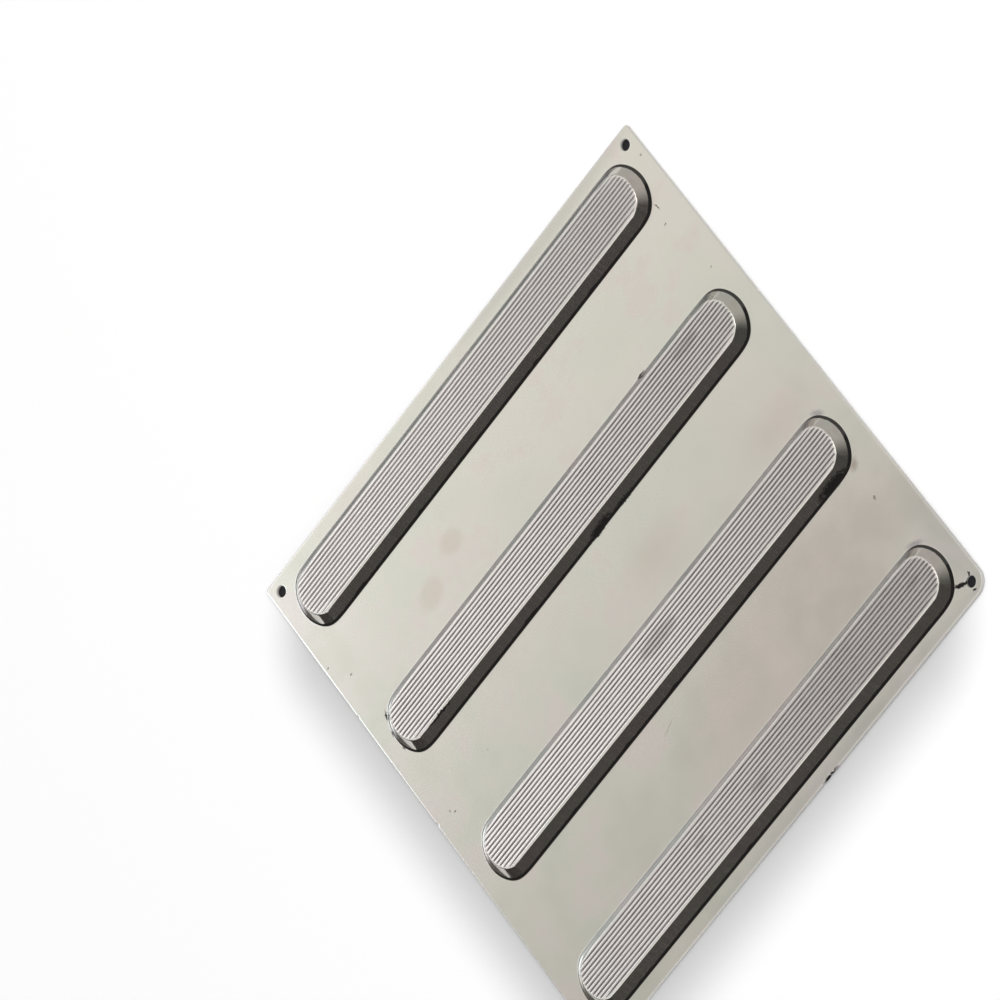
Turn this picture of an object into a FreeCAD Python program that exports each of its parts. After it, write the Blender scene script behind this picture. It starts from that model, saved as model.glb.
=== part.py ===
import FreeCAD, Part
import math
import os
import Sketcher
from FreeCAD import Vector

# Tactile guide plate: one square of stainless sheet, pressed up into long ribbed bars.
# Origin at the centre of the underside, +X along the bars, +Z up. Millimetres.

doc = FreeCAD.newDocument("tactile_guide_plate")

# Driving dimensions

SIZES = {
    "plate_length": 300.0,
    "plate_width": 300.0,
    "sheet_gauge": 1.5,
    "outer_corner_radius": 8.0,
    "joint_corner_radius": 2.0,
    "rim_radius": 0.3,
    "bar_count": 4,
    "bar_end_margin": 10.0,
    "bar_side_margin": 7.5,
    "bar_base_width": 35.0,
    "bar_top_width": 25.0,
    "bar_height": 5.0,
    "bar_end_bulge": 10.3,
    "foot_radius": 1.0,
    "rib_count": 12,
    "groove_width": 1.1,
    "groove_depth": 0.6,
    "hole_diameter": 5.5,
    "hole_inset": 7.0,
}

sheet = doc.addObject("Spreadsheet::Sheet", "sizes")
for row, (alias, value) in enumerate(SIZES.items(), start=1):
    sheet.set(f"A{row}", alias)
    sheet.set(f"B{row}", str(value))
    sheet.setAlias(f"B{row}", alias)
doc.recompute()


def size(alias):
    return float(sheet.get(alias))


# Worked-out sizes. Each has its value, to draw with, and its expression, which keeps the drawing bound.

BAR_LENGTH = "(sizes.plate_length - 2 * sizes.bar_end_margin)"
bar_length = size("plate_length") - 2 * size("bar_end_margin")

BAR_SLOPE = "atan((sizes.bar_base_width - sizes.bar_top_width) / 2 / sizes.bar_height)"
bar_slope = math.atan((size("bar_base_width") - size("bar_top_width")) / 2 / size("bar_height"))

END_RADIUS = "((sizes.bar_end_bulge ^ 2 + (sizes.bar_base_width / 2) ^ 2) / (2 * sizes.bar_end_bulge))"
end_radius = (size("bar_end_bulge") ** 2 + (size("bar_base_width") / 2) ** 2) / (2 * size("bar_end_bulge"))

# The underside follows the bar at an even gauge, so its outline stands this far inside the foot.
WALL_INSET = f"(sizes.sheet_gauge * (1 / cos({BAR_SLOPE}) - tan({BAR_SLOPE})))"
wall_inset = size("sheet_gauge") * (1 / math.cos(bar_slope) - math.tan(bar_slope))

# The bars are spread evenly between two that stand at the side margins.
BAR_SPAN = "(sizes.plate_width - 2 * sizes.bar_side_margin - sizes.bar_base_width)"
RIB_SPAN = "(sizes.bar_top_width * (1 - 2 / sizes.rib_count))"

# Sketch helpers


def start_of(edge):
    return edge, 1


def end_of(edge):
    return edge, 2


def centre_of(edge):
    return edge, 3


def sketch_origin():
    return -1, 1


def add_line(sketch, start, end):
    return sketch.addGeometry(Part.LineSegment(Vector(*start, 0), Vector(*end, 0)))


def add_circle(sketch, centre, radius):
    return sketch.addGeometry(Part.Circle(Vector(*centre, 0), Vector(0, 0, 1), radius))


def add_arc(sketch, centre, radius, start_angle, end_angle):
    circle = Part.Circle(Vector(*centre, 0), Vector(0, 0, 1), radius)
    return sketch.addGeometry(Part.ArcOfCircle(circle, start_angle, end_angle))


def chain(sketch, edges, kind):
    """Close a ring of edges, each one's end on the next one's start."""
    for first, second in zip(edges, edges[1:] + edges[:1]):
        sketch.addConstraint(Sketcher.Constraint(kind, *end_of(first), *start_of(second)))


def level(sketch, kind, *edges):
    for edge in edges:
        sketch.addConstraint(Sketcher.Constraint(kind, edge))


def put_on_x_axis(sketch, *points):
    for point in points:
        sketch.addConstraint(Sketcher.Constraint("PointOnObject", *point, -1))


def put_on_y_axis(sketch, *points):
    for point in points:
        sketch.addConstraint(Sketcher.Constraint("PointOnObject", *point, -2))


def bind(sketch, name, kind, references, value, expression):
    """Add one dimension, driven by an expression."""
    index = sketch.addConstraint(Sketcher.Constraint(kind, *references, value))
    sketch.renameConstraint(index, name)
    sketch.setExpression(f"Constraints.{name}", expression)


# Feature helpers


def origin_feature(body, role):
    return next(item for item in body.Origin.OriginFeatures if item.Role == role)


def new_sketch(body, name, plane):
    sketch = body.newObject("Sketcher::SketchObject", name)
    sketch.AttachmentSupport = [(origin_feature(body, plane), "")]
    sketch.MapMode = "FlatFace"
    return sketch


def finish_feature(body, feature):
    body.Tip = feature
    doc.recompute()
    return feature


# Guide plate: stainless sheet, blanked square, pressed and pierced in one piece

plate = doc.addObject("PartDesign::Body", "guide_plate")
plate.Label = "guide_plate"


def draw_blank(sketch):
    """Square outline, with larger corners on the free edge than on the edge that meets the next plate."""
    half_x = size("plate_length") / 2
    half_y = size("plate_width") / 2
    outer = size("outer_corner_radius")
    joint = size("joint_corner_radius")
    quarter = math.pi / 2
    front = add_line(sketch, (outer - half_x, -half_y), (half_x - outer, -half_y))
    front_right = add_arc(sketch, (half_x - outer, outer - half_y), outer, -quarter, 0)
    right = add_line(sketch, (half_x, outer - half_y), (half_x, half_y - joint))
    back_right = add_arc(sketch, (half_x - joint, half_y - joint), joint, 0, quarter)
    back = add_line(sketch, (half_x - joint, half_y), (joint - half_x, half_y))
    back_left = add_arc(sketch, (joint - half_x, half_y - joint), joint, quarter, 2 * quarter)
    left = add_line(sketch, (-half_x, half_y - joint), (-half_x, outer - half_y))
    front_left = add_arc(sketch, (outer - half_x, outer - half_y), outer, 2 * quarter, 3 * quarter)
    chain(sketch, [front, front_right, right, back_right, back, back_left, left, front_left], "Tangent")
    level(sketch, "Horizontal", front, back)
    level(sketch, "Vertical", left, right)
    sketch.addConstraint(Sketcher.Constraint("Equal", front_right, front_left))
    sketch.addConstraint(Sketcher.Constraint("Equal", back_right, back_left))
    bind(sketch, "outer_corner", "Radius", [front_right], outer, "sizes.outer_corner_radius")
    bind(sketch, "joint_corner", "Radius", [back_right], joint, "sizes.joint_corner_radius")
    to_right = [*sketch_origin(), *start_of(right)]
    to_left = [*start_of(left), *sketch_origin()]
    to_back = [*sketch_origin(), *start_of(back)]
    to_front = [*start_of(front), *sketch_origin()]
    bind(sketch, "right_edge", "DistanceX", to_right, half_x, "sizes.plate_length / 2")
    bind(sketch, "left_edge", "DistanceX", to_left, half_x, "sizes.plate_length / 2")
    bind(sketch, "back_edge", "DistanceY", to_back, half_y, "sizes.plate_width / 2")
    bind(sketch, "front_edge", "DistanceY", to_front, half_y, "sizes.plate_width / 2")


def draw_bar(sketch, inset, inset_expression):
    """Bar outline: two straight sides, and two shallow end arcs that meet them at a corner."""
    radius = end_radius - inset
    half_width = size("bar_base_width") / 2 - inset
    centre_x = bar_length / 2 - end_radius
    corner_x = centre_x + math.sqrt(radius ** 2 - half_width ** 2)
    sweep = math.asin(half_width / radius)
    front = add_line(sketch, (-corner_x, -half_width), (corner_x, -half_width))
    right = add_arc(sketch, (centre_x, 0), radius, -sweep, sweep)
    back = add_line(sketch, (corner_x, half_width), (-corner_x, half_width))
    left = add_arc(sketch, (-centre_x, 0), radius, math.pi - sweep, math.pi + sweep)
    chain(sketch, [front, right, back, left], "Coincident")
    level(sketch, "Horizontal", front, back)
    put_on_x_axis(sketch, centre_of(right), centre_of(left))
    sketch.addConstraint(Sketcher.Constraint("Equal", right, left))
    bind(sketch, "end_radius", "Radius", [right], radius, f"{END_RADIUS} - {inset_expression}")
    to_right = [*sketch_origin(), *centre_of(right)]
    to_left = [*centre_of(left), *sketch_origin()]
    to_back = [*sketch_origin(), *start_of(back)]
    to_front = [*start_of(front), *sketch_origin()]
    bind(sketch, "right_centre", "DistanceX", to_right, centre_x, f"{BAR_LENGTH} / 2 - {END_RADIUS}")
    bind(sketch, "left_centre", "DistanceX", to_left, centre_x, f"{BAR_LENGTH} / 2 - {END_RADIUS}")
    half_width_expression = f"sizes.bar_base_width / 2 - {inset_expression}"
    bind(sketch, "back_side", "DistanceY", to_back, half_width, half_width_expression)
    bind(sketch, "front_side", "DistanceY", to_front, half_width, half_width_expression)


def draw_groove(sketch):
    """V section, with its mouth on the sketch's X axis."""
    half_width = size("groove_width") / 2
    depth = size("groove_depth")
    mouth = add_line(sketch, (half_width, 0), (-half_width, 0))
    left = add_line(sketch, (-half_width, 0), (0, -depth))
    right = add_line(sketch, (0, -depth), (half_width, 0))
    chain(sketch, [mouth, left, right], "Coincident")
    put_on_x_axis(sketch, start_of(mouth), end_of(mouth))
    put_on_y_axis(sketch, end_of(left))
    to_right = [*sketch_origin(), *start_of(mouth)]
    to_left = [*end_of(mouth), *sketch_origin()]
    to_bottom = [*end_of(left), *sketch_origin()]
    bind(sketch, "right_lip", "DistanceX", to_right, half_width, "sizes.groove_width / 2")
    bind(sketch, "left_lip", "DistanceX", to_left, half_width, "sizes.groove_width / 2")
    bind(sketch, "depth", "DistanceY", to_bottom, depth, "sizes.groove_depth")


def draw_hole(sketch):
    x = size("plate_length") / 2 - size("hole_inset")
    y = size("plate_width") / 2 - size("hole_inset")
    circle = add_circle(sketch, (x, y), size("hole_diameter") / 2)
    to_centre = [*sketch_origin(), *centre_of(circle)]
    bind(sketch, "diameter", "Diameter", [circle], size("hole_diameter"), "sizes.hole_diameter")
    bind(sketch, "place_x", "DistanceX", to_centre, x, "sizes.plate_length / 2 - sizes.hole_inset")
    bind(sketch, "place_y", "DistanceY", to_centre, y, "sizes.plate_width / 2 - sizes.hole_inset")


# The flat blank

blank_sketch = new_sketch(plate, "blank_outline", "XY_Plane")
draw_blank(blank_sketch)
blank = plate.newObject("PartDesign::Pad", "blank")
blank.Profile = blank_sketch
blank.setExpression("Length", "sizes.sheet_gauge")
finish_feature(plate, blank)

# One bar above the sheet, and the hollow that the press leaves under it, then the whole row of bars

bar_sketch = new_sketch(plate, "bar_outline", "XY_Plane")
bar_sketch.setExpression(".AttachmentOffset.Base.y", f"-{BAR_SPAN} / 2")
bar_sketch.setExpression(".AttachmentOffset.Base.z", "sizes.sheet_gauge")
draw_bar(bar_sketch, 0, "0")
bar = plate.newObject("PartDesign::Pad", "bar")
bar.Profile = bar_sketch
bar.setExpression("Length", "sizes.bar_height")
bar.setExpression("TaperAngle", f"-{BAR_SLOPE}")
finish_feature(plate, bar)

hollow_sketch = new_sketch(plate, "hollow_outline", "XY_Plane")
hollow_sketch.setExpression(".AttachmentOffset.Base.y", f"-{BAR_SPAN} / 2")
draw_bar(hollow_sketch, wall_inset, WALL_INSET)
hollow = plate.newObject("PartDesign::Pocket", "hollow")
hollow.Profile = hollow_sketch
hollow.Reversed = True
hollow.setExpression("Length", "sizes.bar_height")
hollow.setExpression("TaperAngle", f"-{BAR_SLOPE}")
finish_feature(plate, hollow)

bars = plate.newObject("PartDesign::LinearPattern", "bars")
bars.Originals = [bar, hollow]
bars.Direction = (origin_feature(plate, "Y_Axis"), [""])
bars.setExpression("Length", BAR_SPAN)
bars.setExpression("Occurrences", "sizes.bar_count")
finish_feature(plate, bars)


def flat_edges(shape, height, on_rim):
    """Names of the edges lying flat at one height, either on the plate's outline or inside it."""
    tolerance = 1e-4
    half_x = size("plate_length") / 2
    half_y = size("plate_width") / 2
    corner_x = half_x - size("outer_corner_radius")
    corner_y = half_y - size("outer_corner_radius")
    names = []
    for number, edge in enumerate(shape.Edges, start=1):
        box = edge.BoundBox
        lies_flat = abs(box.ZMin - height) < tolerance and abs(box.ZMax - height) < tolerance
        middle = edge.valueAt((edge.FirstParameter + edge.LastParameter) / 2)
        at_side = abs(middle.x) > half_x - tolerance or abs(middle.y) > half_y - tolerance
        at_corner = abs(middle.x) > corner_x and abs(middle.y) > corner_y
        if lies_flat and (at_side or at_corner) == on_rim:
            names.append(f"Edge{number}")
    return names


# The press rolls each foot: a small radius above, and that radius plus the gauge below.
# The shears leave the rim slightly rolled over on the walked-on side.

foot = plate.newObject("PartDesign::Fillet", "foot")
foot.Base = (bars, flat_edges(bars.Shape, size("sheet_gauge"), on_rim=False))
foot.setExpression("Radius", "sizes.foot_radius")
finish_feature(plate, foot)

mouth = plate.newObject("PartDesign::Fillet", "mouth")
mouth.Base = (foot, flat_edges(foot.Shape, 0, on_rim=False))
mouth.setExpression("Radius", "sizes.foot_radius + sizes.sheet_gauge")
finish_feature(plate, mouth)

rim = plate.newObject("PartDesign::Fillet", "rim")
rim.Base = (mouth, flat_edges(mouth.Shape, size("sheet_gauge"), on_rim=True))
rim.setExpression("Radius", "sizes.rim_radius")
finish_feature(plate, rim)

# Non-slip ribs: V grooves run the length of every bar and out through its ends.

groove_sketch = new_sketch(plate, "groove_section", "YZ_Plane")
groove_sketch.setExpression(".AttachmentOffset.Base.x", f"-({BAR_SPAN} + {RIB_SPAN}) / 2")
groove_sketch.setExpression(".AttachmentOffset.Base.y", "sizes.sheet_gauge + sizes.bar_height")
draw_groove(groove_sketch)
groove = plate.newObject("PartDesign::Pocket", "groove")
groove.Profile = groove_sketch
groove.Midplane = True
groove.setExpression("Length", BAR_LENGTH)
finish_feature(plate, groove)

grooves = plate.newObject("PartDesign::MultiTransform", "grooves")
grooves.Originals = [groove]
across_bar = plate.newObject("PartDesign::LinearPattern", "grooves_across_bar")
across_bar.Direction = (origin_feature(plate, "Y_Axis"), [""])
across_bar.setExpression("Length", RIB_SPAN)
across_bar.setExpression("Occurrences", "sizes.rib_count - 1")
on_every_bar = plate.newObject("PartDesign::LinearPattern", "grooves_on_every_bar")
on_every_bar.Direction = (origin_feature(plate, "Y_Axis"), [""])
on_every_bar.setExpression("Length", BAR_SPAN)
on_every_bar.setExpression("Occurrences", "sizes.bar_count")
grooves.Transformations = [across_bar, on_every_bar]
finish_feature(plate, grooves)

# One plain fixing hole pierced in each corner

hole_sketch = new_sketch(plate, "hole_outline", "XY_Plane")
draw_hole(hole_sketch)
hole = plate.newObject("PartDesign::Pocket", "hole")
hole.Profile = hole_sketch
hole.Reversed = True
hole.Type = "ThroughAll"
finish_feature(plate, hole)

holes = plate.newObject("PartDesign::MultiTransform", "holes")
holes.Originals = [hole]
side_to_side = plate.newObject("PartDesign::Mirrored", "holes_side_to_side")
side_to_side.MirrorPlane = (origin_feature(plate, "YZ_Plane"), [""])
front_to_back = plate.newObject("PartDesign::Mirrored", "holes_front_to_back")
front_to_back.MirrorPlane = (origin_feature(plate, "XZ_Plane"), [""])
holes.Transformations = [side_to_side, front_to_back]
finish_feature(plate, holes)

# Check every feature and the finished piece, then write it out

for item in doc.Objects:
    if "Invalid" in item.State or "Error" in item.State:
        raise RuntimeError(f"{item.Name} failed: {item.State}")

os.makedirs("parts", exist_ok=True)
for piece in [plate]:
    shape = piece.Shape
    if shape.isNull() or not shape.isValid() or len(shape.Solids) != 1:
        raise RuntimeError(f"{piece.Label} is not one valid solid")
    shape.exportStep(os.path.join("parts", f"{piece.Label}.step"))
    print(piece.Label, round(shape.Volume), "mm3", len(shape.Faces), "faces")
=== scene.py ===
import math

import bmesh
import bpy
from mathutils import Matrix, Vector, noise
from mathutils.geometry import delaunay_2d_cdt


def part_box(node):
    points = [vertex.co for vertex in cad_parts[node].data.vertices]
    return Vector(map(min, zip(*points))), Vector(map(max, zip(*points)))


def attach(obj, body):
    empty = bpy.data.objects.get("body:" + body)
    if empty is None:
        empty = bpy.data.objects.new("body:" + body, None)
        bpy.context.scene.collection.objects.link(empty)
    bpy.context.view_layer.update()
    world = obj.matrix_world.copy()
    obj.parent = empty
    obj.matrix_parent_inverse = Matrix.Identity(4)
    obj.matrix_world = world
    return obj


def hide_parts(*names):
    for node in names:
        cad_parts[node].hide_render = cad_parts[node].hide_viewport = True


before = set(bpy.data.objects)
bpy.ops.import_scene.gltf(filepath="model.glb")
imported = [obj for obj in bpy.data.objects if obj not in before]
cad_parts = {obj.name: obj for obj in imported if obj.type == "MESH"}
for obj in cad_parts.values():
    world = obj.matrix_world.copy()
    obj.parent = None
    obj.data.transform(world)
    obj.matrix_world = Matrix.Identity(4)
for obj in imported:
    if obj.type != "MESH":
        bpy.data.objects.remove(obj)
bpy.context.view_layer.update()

# Camera
# A long lens looks down on the plate from beyond its front right corner. It is turned on its side,
# so that the bars climb to the right and the plate's front left corner drops out of the picture.

MM = 0.001
view_azimuth = math.radians(40)
view_elevation = math.radians(50)
view_roll = math.radians(-84.8)
view_distance = 4.0
view_target = Vector((-21.0, 78.9, 0)) * MM

camera = bpy.data.objects.new("camera", bpy.data.cameras.new("camera"))
bpy.context.scene.collection.objects.link(camera)
bpy.context.scene.camera = camera
towards_camera = Vector((
    math.sin(view_azimuth) * math.cos(view_elevation),
    -math.cos(view_azimuth) * math.cos(view_elevation),
    math.sin(view_elevation),
))
camera.location = view_target + towards_camera * view_distance
upright = (-towards_camera).to_track_quat("-Z", "Y").to_matrix()
camera.rotation_euler = (upright @ Matrix.Rotation(view_roll, 3, "Z")).to_euler()
camera.data.lens = 312
camera.data.clip_end = 20

# Guide plate
# One 300 mm square of bright stainless sheet, 1.5 mm thick. The blank is sheared and pierced, then
# pressed between a die and a ribbed punch, which raises four hollow bars with fine ribs on top.

_, high = (Vector(corner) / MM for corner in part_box("guide_plate"))
half_length = high.x
half_width = high.y
gauge = 1.5
bar_height = high.z - gauge
front_corner_radius = 8.0
back_corner_radius = 2.0
hole_radius = 2.75
hole_inset = 7.0
hole_centres = [
    Vector((side_x * (half_length - hole_inset), side_y * (half_width - hole_inset)))
    for side_x in (-1, 1)
    for side_y in (-1, 1)
]

bar_centres = [-125.0, -125.0 / 3, 125.0 / 3, 125.0]
bar_half_length = 140.0
foot_half_width = 17.5
crest_half_width = 12.5
end_bulge = 10.3
end_radius = (end_bulge ** 2 + foot_half_width ** 2) / (2 * end_bulge)
end_centre = bar_half_length - end_radius
foot_corner_blend = 6.0
wall_inset = gauge * (math.sqrt(2) - 1)

rib_count = 12
rib_pitch = 2 * crest_half_width / rib_count
groove_half_width = 0.66
groove_depth = 0.6
groove_run_out = 1.2
rib_crown = 0.05

foot_radius = 1.0
mouth_radius = foot_radius + gauge
crest_blend = 0.6
ceiling_blend = 0.8

# How wide a strip round each bar, hole and rim is meshed in rows of its own.
flat_margin = 1.5
hole_margin = 0.6
rim_margin = 1.0


def smooth_min(a, b, reach):
    """The smaller of two heights, with the corner between them rounded off."""
    blend = max(reach - abs(a - b), 0) / reach
    return min(a, b) - blend ** 3 * reach / 6


def inside_foot(x, y):
    """How far a point is inside the outline of a bar's foot, in mm; negative outside."""
    from_side = foot_half_width - abs(y)
    from_end = end_radius - math.hypot(max(abs(x) - end_centre, 0), y)
    return smooth_min(from_side, from_end, foot_corner_blend)


def rolled_rise(distance, radius):
    """Height of a 45 degree wall with a rolled foot, by distance inside the foot line."""
    tangent = radius * math.tan(math.pi / 8)
    if distance <= -tangent:
        return 0.0
    if distance >= tangent * math.cos(math.pi / 4):
        return distance
    return radius - math.sqrt(radius ** 2 - (distance + tangent) ** 2)


def rib_height(y, depth):
    """Height of the ribbed top across a bar; the grooves run out before the bar's end."""
    half_pitch = rib_pitch / 2
    outermost = crest_half_width - half_pitch
    if abs(y) >= outermost:
        return bar_height - rib_crown * min((abs(y) - outermost) / half_pitch, 1.5) ** 2
    offset = ((y + crest_half_width) / rib_pitch + 0.5) % 1 - 0.5
    from_groove = abs(offset) * rib_pitch
    from_crest = half_pitch - from_groove
    cut = 0.0
    if from_groove < groove_half_width:
        run_out = min(max((depth - bar_height) / groove_run_out, 0), 1)
        cut = groove_depth * (1 - (from_groove / groove_half_width) ** 2) ** 2 * run_out
    return bar_height - cut - rib_crown * (from_crest / half_pitch) ** 2


def bar_top(x, y):
    depth = inside_foot(x, y)
    wall = rolled_rise(depth, foot_radius)
    return gauge + max(smooth_min(wall, rib_height(y, depth), crest_blend), 0)


def bar_underside(x, y):
    wall = rolled_rise(inside_foot(x, y) - wall_inset, mouth_radius)
    return max(smooth_min(wall, bar_height, ceiling_blend), 0)


def bar_rows(y, rows_at_wall, rows_at_foot, rows_along):
    """Places along one lengthwise line of a bar, closer together where its ends bend."""
    past_mitre = (1.2, 0.6, 0.3, 0.12)
    depth_at_mitre = min(bar_height, foot_half_width - abs(y))
    depths = [depth_at_mitre + further for further in past_mitre]
    foot_top = min(0.7, depth_at_mitre)
    crowding = 1.3
    for step in range(rows_at_wall):
        share = step / rows_at_wall
        depths.append(depth_at_mitre + (foot_top - depth_at_mitre) * share ** crowding)
    for step in range(rows_at_foot + 1):
        share = step / rows_at_foot
        depths.append(foot_top + (-flat_margin - foot_top) * share)
    end = [end_centre + math.sqrt(max((end_radius - depth) ** 2 - y * y, 0)) for depth in depths]
    along = [end[0] * (2 * step / rows_along - 1) for step in range(1, rows_along)]
    return [-place for place in reversed(end)] + along + end


def mirrored(places):
    return sorted({-place for place in places} | set(places))


def top_columns():
    """Lines across a bar's top: ten to each rib, then down the side and out on the flat."""
    across_groove = (-0.7, -0.52, -0.36, -0.2, 0, 0.2, 0.36, 0.52, 0.7, rib_pitch / 2)
    grooves = [-crest_half_width + rib * rib_pitch for rib in range(1, rib_count)]
    ribbed = [round(groove + offset, 4) for groove in grooves for offset in across_groove]
    side = [11.6, 11.9, 12.1, 12.3, 12.5, 12.65, 12.85, 13.1, 13.6, 14.4, 15.2, 16.0]
    foot = [16.6, 16.9, 17.15, 17.3, 17.5, 17.7, 17.92, 18.3, foot_half_width + flat_margin]
    inner = [column for column in ribbed if abs(column) < side[0] - 0.1]
    return sorted(set(inner + mirrored(side + foot)))


def underside_columns():
    ceiling = [0.0, 4.0, 8.0, 10.0, 11.0, 11.5, 11.9, 12.3, 12.9, 13.8]
    mouth = [14.8, 15.6, 16.2, 16.7, 17.1, 17.5, 17.9, 18.4, foot_half_width + flat_margin]
    return mirrored(ceiling + mouth)


# Dents in the rim from handling: the place, how deep each bites, and how far it reaches.
edge_nicks = [
    (29.0, -half_width, 0.7, 1.6),
    (31.5, -half_width, 0.4, 1.0),
    (-half_length, 66.0, 0.5, 1.3),
    (-half_length, -5.0, 0.6, 1.5),
    (-half_length, -92.0, 0.3, 1.0),
    (half_length, 38.0, 0.25, 1.2),
]


class PlateMesh:
    """Collects faces by the places of their corners, so that patches meet without seams."""

    def __init__(self):
        self.index = {}
        self.places = []
        self.faces = []

    def vertex(self, place):
        key = tuple(round(value, 4) for value in place)
        if key not in self.index:
            self.index[key] = len(self.places)
            self.places.append(Vector(key))
        return self.index[key]

    def face(self, corners):
        ring = []
        for corner in corners:
            vertex = self.vertex(corner)
            if vertex not in ring:
                ring.append(vertex)
        if len(ring) > 2:
            self.faces.append(ring)


def without_repeats(ring):
    """A closed ring of places, without those that lie on the one before them."""
    too_near = 1e-4
    kept = []
    for place in ring:
        if not kept or (Vector(place) - Vector(kept[-1])).length > too_near:
            kept.append(place)
    if (Vector(kept[0]) - Vector(kept[-1])).length <= too_near:
        kept.pop()
    return kept


def add_bar_patch(mesh, centre, columns, height, facing_up, rows):
    """One bar as a sheet of quads; returns the outline that the flat sheet meets."""
    lines = [[(x, y) for x in bar_rows(y, *rows)] for y in columns]
    raised = [[(x, y + centre, height(x, y)) for x, y in line] for line in lines]
    for near, far in zip(raised, raised[1:]):
        for step in range(len(near) - 1):
            quad = [near[step], near[step + 1], far[step + 1], far[step]]
            mesh.face(quad if facing_up else quad[::-1])
    outline = list(raised[0])
    outline += [line[-1] for line in raised[1:-1]]
    outline += raised[-1][::-1]
    outline += [line[0] for line in raised[-2:0:-1]]
    return without_repeats(outline)


edge_step = 4.0
nick_step = 0.4


def plate_outline():
    """The blank's edge, walked anticlockwise: places with the direction that faces outwards."""
    corners = [
        (1, -1, front_corner_radius, 10),
        (1, 1, back_corner_radius, 5),
        (-1, 1, back_corner_radius, 5),
        (-1, -1, front_corner_radius, 10),
    ]
    turns = []
    for number, (side_x, side_y, radius, steps) in enumerate(corners):
        centre = Vector((side_x * (half_length - radius), side_y * (half_width - radius)))
        start = math.radians(90 * (number - 1))
        for step in range(steps + 1):
            angle = start + math.pi / 2 * step / steps
            outwards = Vector((math.cos(angle), math.sin(angle)))
            turns.append((centre + outwards * radius, outwards))
    walked = []
    for (here, outwards), (after, _) in zip(turns, turns[1:] + turns[:1]):
        walked += [(place, outwards) for place in split_run(here, after, edge_step)]
    return walked


def split_run(here, after, longest):
    """Places from one to before the other, closer together where the edge is nicked."""
    pieces = max(1, round((after - here).length / longest))
    places = [here + (after - here) * (step / pieces) for step in range(pieces)]
    if longest <= nick_step:
        return places
    ends = places[1:] + [after]
    split = []
    for start, end in zip(places, ends):
        near = any(((start + end) / 2 - Vector(nick[:2])).length < longest for nick in edge_nicks)
        split += split_run(start, end, nick_step) if near else [start]
    return split


def edge_ring(outline, inset, z):
    """The blank's edge drawn in by an inset, and further where a nick bites into it."""
    ring = []
    for place, outwards in outline:
        bite = 0.0
        for x, y, depth, reach in edge_nicks:
            away = min((place - Vector((x, y))).length / reach, 1)
            bite += depth * (1 - away ** 2) ** 2
        share_at_height = 0.4 + 0.6 * z / gauge
        ring.append((*(place - outwards * (inset + bite * share_at_height)), z))
    return ring


def circle(centre, radius, z, steps=40):
    turns = [2 * math.pi * step / steps for step in range(steps)]
    places = [centre + Vector((math.cos(turn), math.sin(turn))) * radius for turn in turns]
    return [(place.x, place.y, z) for place in places]


def add_wall(mesh, rings):
    """Joins rings of equal count, from the top face's ring down to the underside's."""
    for upper, lower in zip(rings, rings[1:]):
        for step in range(len(upper)):
            after = (step + 1) % len(upper)
            mesh.face([upper[step], lower[step], lower[after], upper[after]])


def add_flat(mesh, outer, openings, z, spacing, facing_up):
    """Fills the sheet between its rim, the bars and the holes with even triangles."""
    places = []
    edges = []
    for ring in [outer] + openings:
        first = len(places)
        places += [Vector(place[:2]) for place in ring]
        edges += [(first + step, first + (step + 1) % len(ring)) for step in range(len(ring))]
    reach_x = int(half_length / spacing)
    reach_y = int(half_width / spacing)
    for column in range(-reach_x, reach_x + 1):
        for row in range(-reach_y, reach_y + 1):
            shift = spacing / 2 * (row % 2)
            place = Vector((column * spacing + shift, row * spacing))
            if is_open_sheet(place, spacing * 0.6):
                places.append(place)
    solved, _, triangles, *_ = delaunay_2d_cdt(places, edges, [], 1, 1e-5)
    for triangle in triangles:
        corners = [solved[corner] for corner in triangle]
        middle = (corners[0] + corners[1] + corners[2]) / 3
        if any(encloses(opening, middle) for opening in openings):
            continue
        ring = [(corner.x, corner.y, z) for corner in corners]
        mesh.face(ring if facing_up else ring[::-1])


def encloses(ring, place):
    """Whether a place lies inside a ring, by counting the sides crossed on the way out."""
    tallest_opening = 2 * (foot_half_width + flat_margin)
    if abs(place.y - ring[0][1]) > tallest_opening:
        return False
    crossings = 0
    for near, far in zip(ring, ring[1:] + ring[:1]):
        if (near[1] > place.y) != (far[1] > place.y):
            share = (place.y - near[1]) / (far[1] - near[1])
            crossings += near[0] + (far[0] - near[0]) * share > place.x
    return crossings % 2 == 1


def is_open_sheet(place, clearance):
    """Whether a place lies on the flat sheet, that far clear of the rim, bars and holes."""
    if max(abs(place.x) - half_length, abs(place.y) - half_width) > -rim_margin - clearance:
        return False
    for centre in bar_centres:
        if inside_foot(place.x, place.y - centre) > -flat_margin - clearance:
            return False
    return all((place - hole).length > hole_radius + hole_margin + clearance for hole in hole_centres)


# Rows down an end's wall, round its foot, and along the bar.
top_rows = (7, 8, 30)
underside_rows = (5, 7, 30)

plate_mesh = PlateMesh()
top_openings = []
underside_openings = []
for centre in bar_centres:
    above = add_bar_patch(plate_mesh, centre, top_columns(), bar_top, True, top_rows)
    below = add_bar_patch(plate_mesh, centre, underside_columns(), bar_underside, False, underside_rows)
    top_openings.append(above)
    underside_openings.append(below)

# A pierced hole's edge, from the face down: how far out from its bore, and how high.
hole_profile = [
    (hole_margin, gauge),
    (0.2, gauge),
    (0.08, gauge - 0.04),
    (0, gauge - 0.18),
    (0, 0.06),
    (0.06, 0),
    (hole_margin, 0),
]
for hole in hole_centres:
    rings = [circle(hole, hole_radius + outwards, z) for outwards, z in hole_profile]
    add_wall(plate_mesh, rings)
    top_openings.append(rings[0])
    underside_openings.append(rings[-1])

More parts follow.
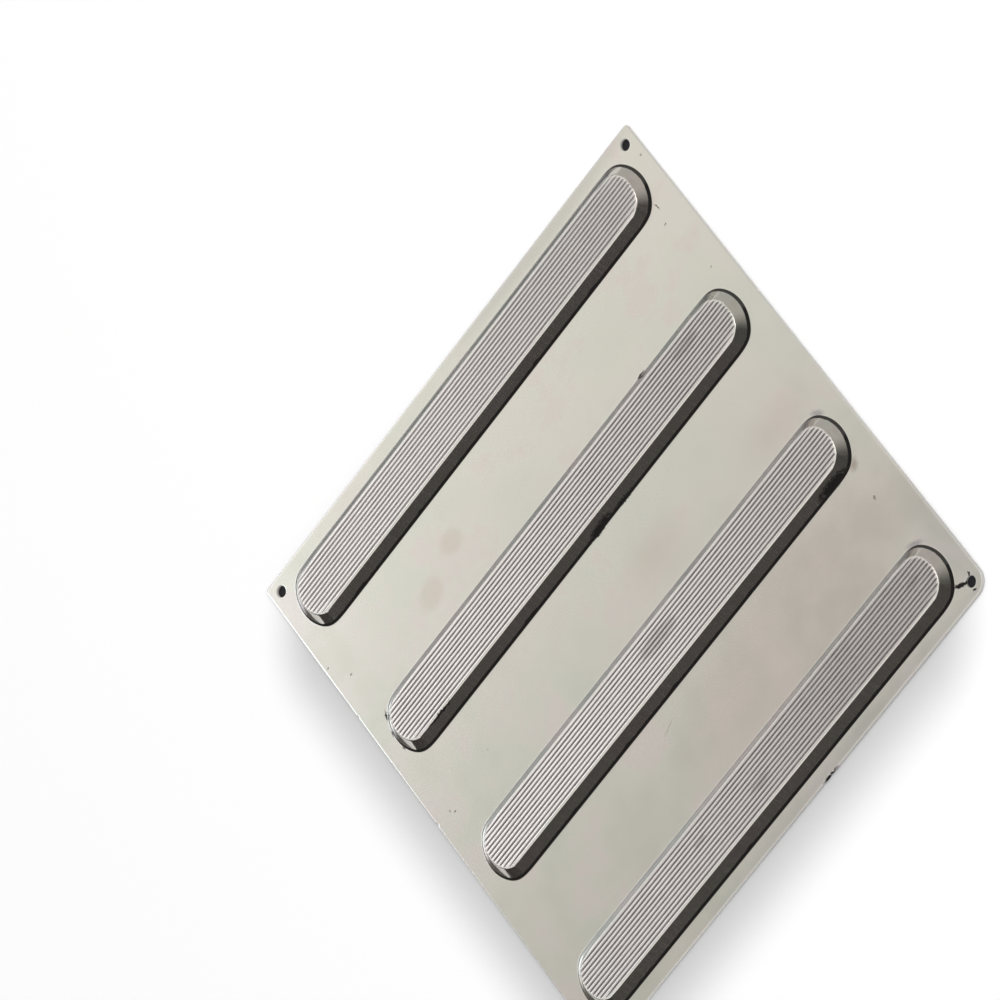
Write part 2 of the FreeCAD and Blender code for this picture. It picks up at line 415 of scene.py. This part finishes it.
# The sheared edge, from the face down: how far in from the outline, and how high.
rim_profile = [
    (rim_margin, gauge),
    (0.3, gauge),
    (0.15, gauge - 0.04),
    (0.04, gauge - 0.15),
    (0, gauge - 0.3),
    (0, 0.12),
    (0.1, 0),
    (rim_margin, 0),
]
outline = plate_outline()
rim = [edge_ring(outline, inset, z) for inset, z in rim_profile]
add_wall(plate_mesh, rim)
add_flat(plate_mesh, rim[0], top_openings, gauge, spacing=4.0, facing_up=True)
add_flat(plate_mesh, rim[-1], underside_openings, 0, spacing=8.0, facing_up=False)

# Pressing leaves the sheet a little out of flat: its face lies up to a tenth below true.
out_of_flat = 0.12
swell_size = 75
ripple_size = 26
for place in plate_mesh.places:
    if place.z > gauge / 2:
        swell = noise.noise(Vector((place.x / swell_size, place.y / swell_size, 3.1)))
        ripple = noise.noise(Vector((place.x / ripple_size, place.y / ripple_size, 8.4)))
        share = min(max((swell + 0.3 * ripple) * 0.7 + 0.5, 0), 1)
        place.z -= out_of_flat * share

pressed_sheet = bpy.data.meshes.new("pressed_plate")
pressed_sheet.from_pydata([place * MM for place in plate_mesh.places], [], plate_mesh.faces)
pressed_sheet.validate()
facing_out = bmesh.new()
facing_out.from_mesh(pressed_sheet)
bmesh.ops.recalc_face_normals(facing_out, faces=facing_out.faces)
facing_out.to_mesh(pressed_sheet)
facing_out.free()
pressed_sheet.shade_smooth()

plate = bpy.data.objects.new("pressed_plate", pressed_sheet)
bpy.context.scene.collection.objects.link(plate)


class Shading:
    """Adds nodes to a material or world; each call returns the socket that carries its result."""

    def __init__(self, owner):
        owner.use_nodes = True
        self.nodes = owner.node_tree.nodes
        self.links = owner.node_tree.links

    def node(self, kind, **settings):
        node = self.nodes.new("ShaderNode" + kind)
        for setting, value in settings.items():
            setattr(node, setting, value)
        return node

    def feed(self, socket, value):
        if isinstance(value, bpy.types.NodeSocket):
            self.links.new(value, socket)
        else:
            socket.default_value = value

    def work(self, operation, *values):
        """One step of arithmetic on numbers."""
        node = self.node("Math", operation=operation)
        for socket, value in zip(node.inputs, values):
            self.feed(socket, value)
        return node.outputs["Value"]

    def work_through(self, operation, values):
        result = values[0]
        for value in values[1:]:
            result = self.work(operation, result, value)
        return result

    def add(self, *values):
        return self.work_through("ADD", values)

    def times(self, *values):
        return self.work_through("MULTIPLY", values)

    def most(self, *values):
        return self.work_through("MAXIMUM", values)

    def less(self, value, taken):
        return self.work("SUBTRACT", value, taken)

    def size_of(self, value):
        return self.work("ABSOLUTE", value)

    def vector(self, operation, *values):
        """One step of arithmetic on places; a length or a dot product gives a number."""
        node = self.node("VectorMath", operation=operation)
        for socket, value in zip(node.inputs, values):
            self.feed(socket, value)
        gives_number = operation in ("LENGTH", "DOT_PRODUCT")
        return node.outputs["Value" if gives_number else "Vector"]

    def stretch(self, place, scale):
        return self.vector("MULTIPLY", place, scale)

    def shift(self, place, offset):
        return self.vector("ADD", place, offset)

    def parts(self, place):
        """The X, Y and Z of a place or direction."""
        node = self.node("SeparateXYZ")
        self.feed(node.inputs["Vector"], place)
        return node.outputs

    def span(self, value, start, end, low=0.0, high=1.0, run="SMOOTHSTEP"):
        """Eases or runs evenly from low to high while the value goes from start to end."""
        node = self.node("MapRange", interpolation_type=run)
        limits = {"Value": value, "From Min": start, "From Max": end, "To Min": low, "To Max": high}
        for name, limit in limits.items():
            self.feed(node.inputs[name], limit)
        return node.outputs["Result"]

    def cloud(self, place, size, detail=2.0, roughness=0.5, output="Fac"):
        """Noise around 0.5 whose blotches are about that many millimetres across."""
        node = self.node("TexNoise")
        self.feed(node.inputs["Vector"], place)
        self.feed(node.inputs["Scale"], 1 / size)
        self.feed(node.inputs["Detail"], detail)
        self.feed(node.inputs["Roughness"], roughness)
        return node.outputs[output]

    def coat(self, under, over, share, strength=1.0):
        """Lays one colour over another, where its share says and at most that strongly."""
        node = self.node("Mix", data_type="RGBA")
        self.feed(node.inputs["Factor"], share if strength == 1 else self.times(share, strength))
        for socket, colour in ((node.inputs["A"], under), (node.inputs["B"], over)):
            self.feed(socket, colour if isinstance(colour, bpy.types.NodeSocket) else (*colour, 1))
        return node.outputs["Result"]


steel = bpy.data.materials.new("bright_stainless")
shade = Shading(steel)
surface = steel.node_tree.nodes["Principled BSDF"]
place = shade.stretch(shade.node("TexCoord").outputs["Object"], (1 / MM, 1 / MM, 1 / MM))
along, sideways, _ = shade.parts(place)

# One on the face, on the bars' sides and on the rim, and nothing on the underside.
upward = shade.parts(shade.node("NewGeometry").outputs["Normal"])["Z"]
upper = shade.span(upward, -0.35, -0.25)

# The distance inside the foot line of the nearest bar, as inside_foot gives it for the mesh.
bar_spacing = bar_centres[1] - bar_centres[0]
wrapped = shade.work("MODULO", shade.add(sideways, 2 * bar_spacing), bar_spacing)
from_centre = shade.less(wrapped, bar_spacing / 2)
from_side = shade.less(foot_half_width, shade.size_of(from_centre))
past_end = shade.most(shade.less(shade.size_of(along), end_centre), 0.0)
squares = shade.add(shade.times(past_end, past_end), shade.times(from_centre, from_centre))
from_end = shade.less(end_radius, shade.work("SQRT", squares))
inside = shade.work("SMOOTH_MIN", from_side, from_end, foot_corner_blend)
on_the_flat = shade.span(inside, 0.0, -1.0)
towards_front = shade.span(from_centre, 6.0, -6.0)

# Rolled steel is clouded: faint rosy and greenish patches, and a finish that is duller in places.
greenish_steel = (0.685, 0.68, 0.62)
warm_steel = (0.71, 0.685, 0.635)
rosy_steel = (0.7, 0.64, 0.61)
broad = shade.cloud(place, 70, 3.0)
patchy = shade.cloud(shade.shift(place, (40, 90, 10)), 26, 4.0, 0.6)
colour = shade.coat(greenish_steel, warm_steel, shade.span(broad, 0.38, 0.62))
colour = shade.coat(colour, rosy_steel, shade.span(patchy, 0.5, 0.66), 0.75)
roughness = shade.span(patchy, 0.3, 0.7, 0.16, 0.24)

# The sides of the bars are drawn over the die and come out brighter, with fine upright drag lines.
drawn_steel = (0.85, 0.81, 0.79)
wall = shade.times(shade.span(inside, 0.2, 0.8), shade.span(inside, bar_height, bar_height - 0.4))
drag = shade.cloud(shade.stretch(place, (1.1, 0.1, 0.1)), 1, 4.0, 0.75)
drawn_finish = shade.span(drag, 0.3, 0.7, 0.08, 0.15)
roughness = shade.add(shade.times(shade.less(1.0, wall), roughness), shade.times(wall, drawn_finish))
colour = shade.coat(colour, drawn_steel, shade.times(wall, shade.span(drag, 0.45, 0.75)), 0.35)

# The ribs' crests are painted near-white: partly polish from shoes and partly a painted highlight.
# They are duller towards the right-hand ends and on the front bar. Fine streaks run along them all.
crest_polish_and_highlight = (0.97, 0.94, 0.925)
dulled_crest = (0.5, 0.485, 0.475)
streaked_crest = (0.8, 0.73, 0.72)
pitches = shade.work("DIVIDE", shade.add(from_centre, crest_half_width), rib_pitch)
phase = shade.work("FRACT", shade.add(pitches, 0.5))
from_groove = shade.times(shade.size_of(shade.less(phase, 0.5)), rib_pitch)
ribbed = shade.times(upper, shade.span(inside, bar_height, bar_height + groove_run_out))
crest = shade.times(ribbed, shade.span(from_groove, 0.3, 0.5))
colour = shade.coat(colour, crest_polish_and_highlight, crest)
to_the_right = shade.span(along, -90, 150, 0.0, 0.72)
on_front_bar = shade.span(sideways, -90, -115, 0.0, 0.45)
crest_dulling = shade.work("MINIMUM", shade.add(to_the_right, on_front_bar), 1.0)
colour = shade.coat(colour, dulled_crest, shade.times(crest, crest_dulling))
streak = shade.cloud(shade.stretch(place, (0.04, 1.4, 1.4)), 1, 3.0, 0.6)
colour = shade.coat(colour, streaked_crest, shade.times(crest, shade.span(streak, 0.5, 0.8)), 0.6)

# The grooves between the ribs are painted dark, partly soil and partly painted shade, in long uneven
# runs, a little less on the back bar.
groove_soil_and_shade = (0.27, 0.235, 0.225)
groove_runs = shade.cloud(shade.stretch(place, (0.05, 0.5, 0.5)), 1, 4.0, 0.7)
groove = shade.times(
    ribbed,
    shade.span(from_groove, 0.45, 0.2),
    shade.span(groove_runs, 0.25, 0.65, 0.6, 0.95),
    shade.span(sideways, 95, 118, 1.0, 0.8),
)
colour = shade.coat(colour, groove_soil_and_shade, groove)

# A black line lies in the crease at each bar's foot, partly dirt and partly painted crease shade. It is
# heavier and lumpy along the front, and heaviest round the right-hand ends.
uneven = shade.cloud(place, 2.2, 4.0, 0.7)
lumps = shade.span(shade.cloud(shade.shift(place, (5, 5, 0)), 16, 2.0), 0.6, 0.7, 0.0, 0.35)
right_end_start = 122
right_end_full = 134
line_top = shade.add(
    shade.most(
        shade.span(along, right_end_start, right_end_full, 0.0, 0.9),
        shade.times(towards_front, 0.75),
    ),
    shade.times(uneven, 0.5),
    shade.times(lumps, towards_front),
)
laid = shade.most(
    shade.span(along, right_end_start, right_end_full, 0.3, 0.95),
    shade.span(towards_front, 0.0, 1.0, 0.3, 1.0),
)
grease_and_crease_shade = shade.times(
    shade.span(inside, -0.45, -0.15),
    shade.span(shade.less(line_top, inside), 0.0, 0.2),
    upper,
    laid,
)

# The sheared rim is painted brighter than the rolled face, partly the bright cut edge and partly a
# painted highlight.
sheared_steel_and_highlight = (0.95, 0.94, 0.92)
from_middle = shade.most(shade.size_of(along), shade.size_of(sideways))
rim_highlight_share = shade.span(from_middle, half_length - 3.5, half_length - 3.0)
rim_highlight_share = shade.times(rim_highlight_share, shade.span(upward, 0.5, 0.2), upper)
colour = shade.coat(colour, sheared_steel_and_highlight, rim_highlight_share)

# Marks of handling and wear, and patches of painted shade. Their edges are ragged, because each is
# looked up at a place that wanders a little way from its own.
shred_size = 1 / 0.7
wander_reach = 2.4
wander = shade.shift(shade.cloud(place, shred_size, 4.0, output="Color"), (-0.5, -0.5, -0.5))
ragged_place = shade.shift(place, shade.stretch(wander, (wander_reach, wander_reach, wander_reach)))


def spot(x, y, reach_along, reach_across, turn=0.0, start=1.0, full=0.5):
    """A ragged oval patch on the steel: one in its middle, nothing past its edge."""
    turned = shade.node("VectorRotate", rotation_type="Z_AXIS")
    shade.feed(turned.inputs["Vector"], shade.shift(ragged_place, (-x, -y, 0)))
    shade.feed(turned.inputs["Angle"], math.radians(-turn))
    scaled = shade.stretch(turned.outputs["Vector"], (1 / reach_along, 1 / reach_across, 0))
    return shade.span(shade.vector("LENGTH", scaled), start, full)


def on_face(*patches):
    """Lays several patches on the upper face alone, the strongest one winning."""
    return shade.times(shade.most(*patches), upper)


straw_tarnish = (0.6, 0.53, 0.45)
tarnish = on_face(
    spot(-79, 76, 12, 9, 20, 1.0, 0.4),
    spot(-54, 85, 10, 8, -10, 1.0, 0.4),
)
colour = shade.coat(colour, straw_tarnish, tarnish, 0.45)

rosy_flat = (0.66, 0.6, 0.555)
blush = on_face(
    spot(65, -88, 120, 42, 4, 1.0, 0.4),
    spot(28, -6, 28, 15, 0, 1.2, 0.0),
    spot(118, -14, 28, 15, 0, 1.2, 0.0),
)
colour = shade.coat(colour, rosy_flat, shade.times(blush, on_the_flat), 0.75)

# Painted shade: the flat is darker in strips along the back and front edges and at the front right
# corner.
flat_shade_colour = (0.48, 0.475, 0.46)
painted_flat_shade = on_face(
    spot(80, 149, 95, 9, 0, 1.0, 0.3),
    spot(60, -150, 150, 10, 0, 1.0, 0.3),
    spot(150, -122, 22, 44, 0, 1.0, 0.3),
)
colour = shade.coat(colour, flat_shade_colour, shade.times(painted_flat_shade, on_the_flat), 0.4)

# Grey-violet patches at the back right-hand corners of the two front bars.
grey_violet_tint = (0.26, 0.25, 0.3)
grey_violet_patches = on_face(
    spot(135, -27, 4.5, 2.2, -40, 1.2, 0.2),
    spot(132.5, -108.8, 5.5, 2.2, -25, 1.2, 0.2),
)
colour = shade.coat(colour, grey_violet_tint, grey_violet_patches, 0.55)

brown_rust = (0.3, 0.22, 0.17)
rust = on_face(spot(133.5, -58.5, 3.6, 2.6, 40, 1.3, 0.2))
colour = shade.coat(colour, brown_rust, rust, 0.5)

rubbed_in_dust = (0.3, 0.27, 0.26)
rubs = on_face(
    spot(4, -38, 18, 5),
    spot(106, 47.5, 12, 3.5),
    spot(-42, -122, 5, 1.5),
    spot(1, -127, 9, 2.5),
    spot(122, -123, 6, 2),
)
colour = shade.coat(colour, rubbed_in_dust, rubs, 0.4)

dark_speck = (0.16, 0.13, 0.1)
specks = on_face(
    spot(-104.5, -1, 0.7, 0.5),
    spot(-139, 83.5, 0.8, 0.6),
    spot(-140, -5.5, 0.6, 0.6),
    spot(-137.8, -7.6, 0.8, 0.6),
    spot(131.5, -77.7, 0.8, 1.9),
    spot(134, 99, 0.9, 0.6),
    spot(139, 65.5, 0.8, 0.7),
    spot(-22, -69, 7, 0.22, 18),
    spot(146, 133, 0.7, 0.5),
    spot(-147.5, 96, 0.9, 0.5),
)
colour = shade.coat(colour, dark_speck, specks, 0.6)

black_grease_and_crease_shade = (0.012, 0.011, 0.01)
smears_on_bar_sides = [
    spot(13, 25.2, 12, 1.9, 3),
    spot(31, 24.8, 9, 1.3),
    spot(-111, 28.9, 11, 0.6),
    spot(77, 59.5, 3.0, 0.7),
    spot(120, -57.4, 13, 2.3),
]
smears_by_right_hole = [
    spot(138.0, -140.2, 6.0, 1.3, -24),
    spot(144.5, -139.5, 1.2, 0.7, 60),
    spot(142.0, -147.0, 1.4, 0.6),
]
# Black marks along the feet round the ends of two bars, darkening the crease there.
end_foot_marks = [
    spot(-137.2, 54.0, 3.8, 0.8, 66, 1.0, 0.1),
    spot(-140.1, 45.5, 2.6, 0.8, 82, 1.0, 0.1),
    spot(-139.6, 35.5, 2.0, 0.9, 110, 1.0, 0.1),
    spot(136.3, 108.6, 3.4, 0.4, -80, 1.0, 0.1),
]
smear_on_front_rim = spot(29.2, -149.9, 7.0, 0.65)
black_marks = on_face(*smears_on_bar_sides, *smears_by_right_hole, *end_foot_marks, smear_on_front_rim)
# The black grease marks and the painted crease shade are laid on the steel together.
grease_and_crease_shade = shade.most(grease_and_crease_shade, black_marks)
colour = shade.coat(colour, black_grease_and_crease_shade, grease_and_crease_shade)
rough_where_dark = shade.most(shade.span(grease_and_crease_shade, 0.88, 1.0), groove, specks)
roughness = shade.add(roughness, shade.times(rough_where_dark, 0.5))

# Fine hairlines and the rolled grain catch the light; they are far below what the mesh can show.
grain_height = 0.0012
hairline_height = 0.0015
grain = shade.cloud(place, 0.5, 3.0, 0.6)
hairlines = shade.cloud(shade.stretch(place, (0.06, 2.2, 1.0)), 1, 3.0, 0.6)
relief = shade.add(shade.times(grain, grain_height), shade.times(hairlines, hairline_height))
bump = shade.node("Bump")
shade.feed(bump.inputs["Distance"], MM)
shade.feed(bump.inputs["Height"], shade.times(relief, shade.less(1.0, wall)))

shade.feed(surface.inputs["Base Color"], colour)
shade.feed(surface.inputs["Metallic"], shade.span(grease_and_crease_shade, 0.75, 1.0, 1.0, 0.1))
shade.feed(surface.inputs["Roughness"], roughness)
shade.feed(surface.inputs["Specular IOR Level"], 0.15)
shade.feed(surface.inputs["Normal"], bump.outputs["Normal"])
pressed_sheet.materials.append(steel)

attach(plate, "root")
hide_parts("guide_plate")

# Floor
# A wide white floor close under the plate, lit by the room and glowing a little for the camera.
# It carries painted shade under the plate, so that the four holes look black, and is clear from below.


def level_rectangle(name, width, height, level=0.0):
    """An object with one four-cornered face, level with the ground."""
    mesh = bpy.data.meshes.new(name)
    corners = [(-1, -1), (1, -1), (1, 1), (-1, 1)]
    places = [(x * width / 2, y * height / 2, level) for x, y in corners]
    mesh.from_pydata(places, [], [(0, 1, 2, 3)])
    return bpy.data.objects.new(name, mesh)


floor = level_rectangle("floor", 12.0, 12.0, -0.05 * MM)
bpy.context.scene.collection.objects.link(floor)
white_floor = bpy.data.materials.new("white_floor")
floor_shade = Shading(white_floor)
paint = white_floor.node_tree.nodes["Principled BSDF"]
floor_place = floor_shade.stretch(floor_shade.node("TexCoord").outputs["Object"], (1 / MM, 1 / MM, 0))
camera_sees = floor_shade.node("LightPath").outputs["Is Camera Ray"]


def beyond_square(half_side, rounding, offset=0.0):
    """How far outside a rounded square a place on the floor is, in mm."""
    corner = half_side - rounding
    away = floor_shade.vector("ABSOLUTE", floor_shade.shift(floor_place, (offset, offset, 0)))
    past = floor_shade.vector("MAXIMUM", floor_shade.shift(away, (-corner, -corner, 0)), (0, 0, 0))
    return floor_shade.less(floor_shade.vector("LENGTH", past), rounding)


def under_square(rounding):
    """One under a plate with such corners, and nothing from just inside its edge outwards."""
    return floor_shade.span(beyond_square(half_length, rounding), -0.8, -0.4, 1.0, 0.0)


# The plate's shadow on the floor beside it is painted, for the camera alone, most along its front and
# left edges.
paper_white = (0.9, 0.9, 0.9)
painted_soft_shadow = floor_shade.span(beyond_square(half_length, 40, 14), -16, 22, 0.38, 0.0)
floor_colour = floor_shade.coat(paper_white, (0, 0, 0), floor_shade.times(painted_soft_shadow, camera_sees))

# Painted shade under the plate, which shows through the four holes.
under_plate_shade = (0.01, 0.01, 0.012)
at_back = floor_shade.span(floor_shade.parts(floor_place)["Y"], -1.0, 1.0)
under_back_corners = floor_shade.times(under_square(back_corner_radius), at_back)
under_plate = floor_shade.most(under_square(front_corner_radius), under_back_corners)
floor_colour = floor_shade.coat(floor_colour, under_plate_shade, under_plate)

floor_glow = 0.3
floor_shade.feed(paint.inputs["Base Color"], floor_colour)
floor_shade.feed(paint.inputs["Roughness"], 1.0)
floor_shade.feed(paint.inputs["Emission Color"], floor_colour)
floor_shade.feed(paint.inputs["Emission Strength"], floor_shade.times(camera_sees, floor_glow))

# Seen from below the floor is clear, so that the hollow underside can be looked at.
unseen_patch = floor_shade.times(under_plate, floor_shade.less(1.0, camera_sees))
from_below = floor_shade.node("NewGeometry").outputs["Backfacing"]
clear = floor_shade.node("BsdfTransparent")
either_side = floor_shade.node("MixShader")
floor_shade.feed(either_side.inputs["Fac"], floor_shade.most(from_below, unseen_patch))
floor_shade.feed(either_side.inputs[1], paint.outputs["BSDF"])
floor_shade.feed(either_side.inputs[2], clear.outputs["BSDF"])
floor_output = white_floor.node_tree.nodes["Material Output"]
floor_shade.feed(floor_output.inputs["Surface"], either_side.outputs["Shader"])
floor.data.materials.append(white_floor)

# Room
# A white room with a soft lamp overhead. Glowing and dark cards stand round the plate out of the
# picture, so that the bright steel has something to reflect.

world = bpy.data.worlds.new("white_room")
bpy.context.scene.world = world
room_shade = Shading(world)
rays = room_shade.node("LightPath")
background = world.node_tree.nodes["Background"]
background.inputs["Color"].default_value = (1, 1, 1, 1)

# It looks fully white, and gives a little less light than that to what stands in it.
looked_at = room_shade.most(
    rays.outputs["Is Camera Ray"],
    rays.outputs["Is Glossy Ray"],
    rays.outputs["Is Transmission Ray"],
)
brightness = room_shade.span(looked_at, 0.0, 1.0, 0.7, 1.0, run="LINEAR")

# Below the floor the room falls off to grey, which gives the hollow underside its shading.
looking_up = room_shade.parts(room_shade.node("TexCoord").outputs["Generated"])["Z"]
depth_share = room_shade.span(looking_up, -0.75, 0.0, 0.3, 1.0, run="LINEAR")
depth_share = room_shade.most(rays.outputs["Is Camera Ray"], depth_share)
room_shade.feed(background.inputs["Strength"], room_shade.times(brightness, depth_share))


def stand_facing_plate(piece, direction, distance):
    """Puts a lamp or card that far out from the plate's middle, facing it."""
    piece.location = Vector(direction).normalized() * distance
    piece.rotation_euler = (-piece.location).to_track_quat("-Z", "Y").to_euler()
    bpy.context.scene.collection.objects.link(piece)


lamp_side = 0.8
lamp_radiance = 2.0
lamp = bpy.data.objects.new("side_lamp", bpy.data.lights.new("side_lamp", "AREA"))
lamp.data.shape = "SQUARE"
lamp.data.size = lamp_side
lamp.data.energy = lamp_radiance * math.pi * lamp_side ** 2
stand_facing_plate(lamp, (0.75, 0.1, 0.65), 1.4)


def add_card(name, direction, distance, size, colour, glow, across=None):
    """A glowing card that only reflections see. Given a direction across it, its glow runs from the
    first strength, 0.3 m one side of the plate's middle, to the second, 0.2 m the other side. A
    longer direction makes the run that much shorter."""
    card = level_rectangle(name, *size)
    glowing = bpy.data.materials.new(name)
    card_shade = Shading(glowing)
    card_shade.nodes.remove(card_shade.nodes["Principled BSDF"])
    light = card_shade.node("Emission")
    light.inputs["Color"].default_value = (*colour, 1)
    light.inputs["Strength"].default_value = glow[0]
    if across:
        position = card_shade.node("NewGeometry").outputs["Position"]
        reach = card_shade.vector("DOT_PRODUCT", position, across)
        card_shade.feed(light.inputs["Strength"], card_shade.span(reach, -0.3, 0.2, *glow))
    card_shade.feed(card_shade.nodes["Material Output"].inputs["Surface"], light.outputs["Emission"])
    card.data.materials.append(glowing)
    stand_facing_plate(card, direction, distance)
    card.visible_camera = False
    card.visible_diffuse = False
    card.visible_shadow = False


# For the camera the plate's face mirrors the ceiling card, which is brighter towards the back edge.
add_card(
    "ceiling_card", (-0.413, 0.492, 0.766), 1.3, size=(1.3, 0.62),
    colour=(1, 0.985, 0.935), glow=(0.54, 0.94), across=(0, 1, -0.492 / 0.766),
)
add_card("zenith_card", (-0.38, 0.0, 0.92), 1.35, size=(1.5, 0.8), colour=(1, 0.97, 0.95), glow=(1.0,))

# The bars' rear sides mirror a bright window, with bluish daylight below it.
add_card(
    "window_card", (-0.413, 0.695, 0.589), 1.3, size=(1.3, 0.25),
    colour=(1, 0.98, 0.98), glow=(3.2, 1.2), across=(0.7, -0.7, 1.317),
)
add_card(
    "back_card", (-0.413, 0.78, 0.42), 1.25, size=(1.6, 0.4),
    colour=(0.84, 0.88, 1), glow=(1.0, 0.2), across=(0.35, 1, -1.263),
)

# Their front sides mirror the dark side of the room.
add_card(
    "front_card", (-0.413, -0.765, 0.491), 1.3, size=(0.95, 0.55),
    colour=(1, 0.92, 0.89), glow=(0.075,),
)
add_card(
    "low_left_card", (-0.87, -0.45, 0.22), 1.3, size=(1.25, 0.7),
    colour=(1, 0.92, 0.88), glow=(0.05,),
)
add_card(
    "camera_card", (0.295, -0.73, 0.616), 1.35, size=(1.8, 0.7),
    colour=(1, 0.95, 0.9), glow=(0.07,),
)

# Their right-hand ends mirror a paler wall, and their left-hand ends a dark one and a small window.
add_card(
    "right_card", (0.854, 0.075, 0.515), 1.3, size=(2.1, 0.75),
    colour=(1, 0.96, 0.91), glow=(0.1, 0.48), across=(0, 0.5, 0),
)
add_card(
    "far_right_card", (0.3, 0.93, 0.2), 1.35, size=(1.7, 0.7),
    colour=(1, 0.98, 0.94), glow=(0.5, 0.55), across=(-0.952, 0.307, 0),
)
add_card(
    "upper_right_card", (0.35, 0.49, 0.8), 1.35, size=(0.7, 0.5),
    colour=(1, 0.97, 0.95), glow=(0.5,),
)
add_card(
    "far_left_card", (-0.85, 0.4, 0.33), 1.4, size=(1.5, 0.75),
    colour=(1, 0.95, 0.92), glow=(0.1,),
)
add_card(
    "left_window_card", (-0.63, 0.543, 0.567), 1.27, size=(0.26, 0.22),
    colour=(0.84, 0.93, 1), glow=(2.7,),
)

bpy.context.scene.view_settings.view_transform = "Standard"

bpy.context.view_layer.update()
